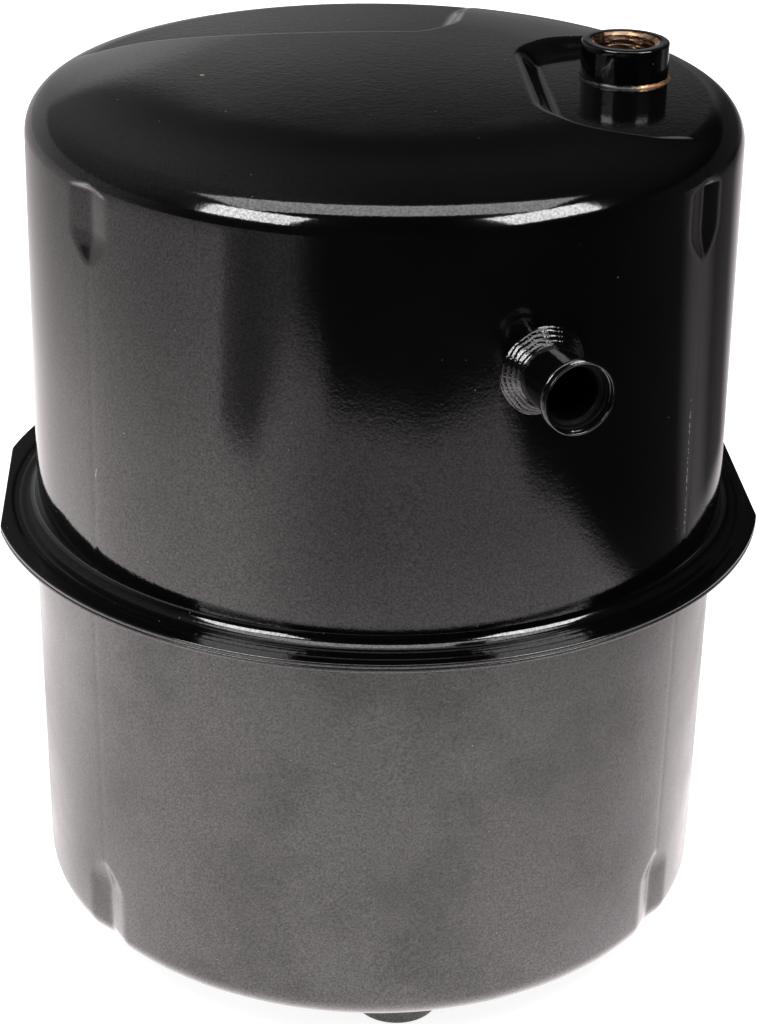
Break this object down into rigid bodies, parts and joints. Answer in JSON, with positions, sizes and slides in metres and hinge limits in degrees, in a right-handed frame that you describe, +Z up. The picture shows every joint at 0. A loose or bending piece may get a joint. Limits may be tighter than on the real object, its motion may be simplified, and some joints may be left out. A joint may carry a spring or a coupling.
{
  "type": "hydraulic reservoir",
  "caption": "Round welded steel oil tank with a mid-height flange, threaded top port, beaded return tube and threaded bottom outlet.",
  "frame": {"origin": "on the upper cup's axis, in the plane where the two flanges meet", "axes": "+Z up along the tank's axis, towards the threaded top port; -Y is the front, where the return tube comes out a little to the right"},
  "size_m": [0.2525, 0.2656, 0.307],
  "materials": {
    "black_paint": "glossy black paint with light orange peel",
    "bare_steel": "plain mild steel, oiled",
    "bronze_filler": "brazing metal, dull"
  },
  "bodies": {
    "root": {"upper_shell": "black_paint", "lower_shell": "black_paint", "top_port_boss": "black_paint", "outlet_boss": "black_paint", "return_tube": "black_paint", "return_tube_weld": "black_paint", "top_port_braze": "bronze_filler", "outlet_braze": "bronze_filler", "strainer_collar": "bronze_filler", "seam_weld": "bare_steel", "baffle_plate": "bare_steel", "baffle_bracket_left": "bare_steel", "baffle_bracket_front": "bare_steel", "baffle_bracket_right": "bare_steel", "return_deflector": "bare_steel", "strainer_screen": "bare_steel", "strainer_cap": "bare_steel"}
  },
  "joints": []
}
